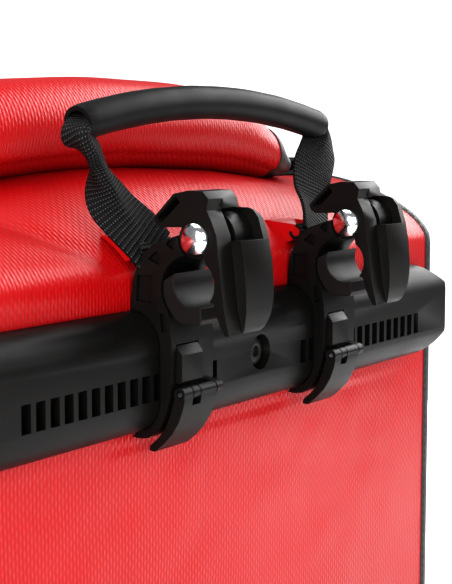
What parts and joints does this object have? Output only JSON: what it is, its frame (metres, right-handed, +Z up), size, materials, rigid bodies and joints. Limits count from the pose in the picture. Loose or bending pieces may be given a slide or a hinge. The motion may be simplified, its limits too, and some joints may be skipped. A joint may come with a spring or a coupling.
{
  "type": "pannier bag",
  "caption": "Roll-top bicycle pannier with a slotted back rail, clamping carrier hooks, a webbing carrying handle and a swivelling lower anchor.",
  "frame": {"origin": "centre of the flat base that the bag stands on", "axes": "+X along the rail to the bag's right as seen from the hook side, +Y from the rail into the bag, +Z up"},
  "size_m": [0.3428, 0.1906, 0.415],
  "materials": {
    "tarpaulin": "coated woven tarpaulin, satin sheen",
    "black_coated_fabric": "matt black coated fabric",
    "webbing": "ribbed black nylon webbing",
    "stiffener_sheet": "plain extruded sheet",
    "zinc_plated_steel": "bright zinc plate",
    "blackened_steel": "black oxide screw",
    "grip_rubber": "smooth matt black tube",
    "tube_insert_plastic": "matt black moulded liner",
    "black_moulding": "satin black glass-filled nylon"
  },
  "bodies": {
    "bag": {"back_panel": "tarpaulin", "front_panel": "tarpaulin", "base_tray": "black_coated_fabric", "edge_binding_left": "black_coated_fabric", "edge_binding_right": "black_coated_fabric", "side_gusset_left": "tarpaulin", "side_gusset_right": "tarpaulin", "back_stiffener": "stiffener_sheet", "roll_closure": "tarpaulin", "closure_batten": "stiffener_sheet", "roll_end_left": "black_coated_fabric", "roll_end_right": "black_coated_fabric", "mounting_rail": "black_moulding", "rail_screw_centre": "blackened_steel", "rail_screw_left": "blackened_steel", "rail_screw_right": "blackened_steel", "rail_nut": "zinc_plated_steel", "handle_anchor_left": "tarpaulin", "handle_anchor_right": "tarpaulin", "closure_tab_left": "webbing", "closure_tab_right": "webbing", "buckle_male_left": "black_moulding", "buckle_male_right": "black_moulding", "buckle_prongs_left": "black_moulding", "buckle_prongs_right": "black_moulding", "strap_patch_left": "tarpaulin", "strap_patch_right": "tarpaulin", "anchor_track": "black_moulding"},
    "hook_left": {"hook_body_left": "black_moulding", "tube_insert_left": "tube_insert_plastic", "jaw_rivet_left": "zinc_plated_steel", "jaw_spring_left": "zinc_plated_steel", "lock_pin_left": "zinc_plated_steel", "slot_catch_left": "black_moulding"},
    "jaw_left": {"jaw_left": "black_moulding"},
    "lock_left": {"lock_lever_left": "black_moulding"},
    "hook_right": {"hook_body_right": "black_moulding", "tube_insert_right": "tube_insert_plastic", "jaw_rivet_right": "zinc_plated_steel", "jaw_spring_right": "zinc_plated_steel", "lock_pin_right": "zinc_plated_steel", "slot_catch_right": "black_moulding"},
    "jaw_right": {"jaw_right": "black_moulding"},
    "lock_right": {"lock_lever_right": "black_moulding"},
    "handle": {"handle_grip": "grip_rubber", "handle_strap": "webbing"},
    "buckle_left": {"buckle_female_left": "black_moulding", "side_strap_left": "webbing"},
    "buckle_right": {"buckle_female_right": "black_moulding", "side_strap_right": "webbing"},
    "anchor_carriage": {"anchor_nut": "black_moulding", "anchor_bolt": "zinc_plated_steel"},
    "anchor_hook": {"anchor_hook": "black_moulding"}
  },
  "joints": [
    {"name": "hook_slide_left", "type": "slide", "parent": "bag", "child": "hook_left", "axis": [-1, 0, 0], "range_m": [0, 0.052], "deforming": ["slot_catch_left"]},
    {"name": "jaw_hinge_left", "type": "hinge", "parent": "hook_left", "child": "jaw_left", "pos_m": [-0.05031, -0.1012, 0.3641], "axis": [-1, 0, 0], "range_deg": [0, 18], "stiffness_Nm_per_rad": 0.2, "springref_deg": -22.92, "deforming": ["jaw_spring_left"]},
    {"name": "lock_hinge_left", "type": "hinge", "parent": "hook_left", "child": "lock_left", "pos_m": [-0.05031, -0.0944, 0.3128], "axis": [-1, 0, 0], "range_deg": [0, 70]},
    {"name": "hook_slide_right", "type": "slide", "parent": "bag", "child": "hook_right", "axis": [1, 0, 0], "range_m": [0, 0.052], "deforming": ["slot_catch_right"]},
    {"name": "jaw_hinge_right", "type": "hinge", "parent": "hook_right", "child": "jaw_right", "pos_m": [0.05031, -0.1012, 0.3641], "axis": [-1, 0, 0], "range_deg": [0, 18], "stiffness_Nm_per_rad": 0.2, "springref_deg": -22.92, "deforming": ["jaw_spring_right"]},
    {"name": "lock_hinge_right", "type": "hinge", "parent": "hook_right", "child": "lock_right", "pos_m": [0.05031, -0.0944, 0.3128], "axis": [-1, 0, 0], "range_deg": [0, 70]},
    {"name": "handle_swing", "type": "hinge", "parent": "bag", "child": "handle", "pos_m": [0, -0.0764, 0.3597], "axis": [-1, 0, 0], "range_deg": [-38, 30]},
    {"name": "buckle_release_left", "type": "slide", "parent": "bag", "child": "buckle_left", "axis": [-1, 0, 0], "range_m": [0, 0.022], "deforming": ["buckle_prongs_left"]},
    {"name": "buckle_release_right", "type": "slide", "parent": "bag", "child": "buckle_right", "axis": [1, 0, 0], "range_m": [0, 0.022], "deforming": ["buckle_prongs_right"]},
    {"name": "anchor_slide", "type": "slide", "parent": "bag", "child": "anchor_carriage", "axis": [1, 0, 0], "range_m": [-0.06, 0.06]},
    {"name": "anchor_swivel", "type": "hinge", "parent": "anchor_carriage", "child": "anchor_hook", "pos_m": [0, -0.0831, 0.085], "axis": [0, -1, 0], "range_deg": [-90, 90]}
  ]
}
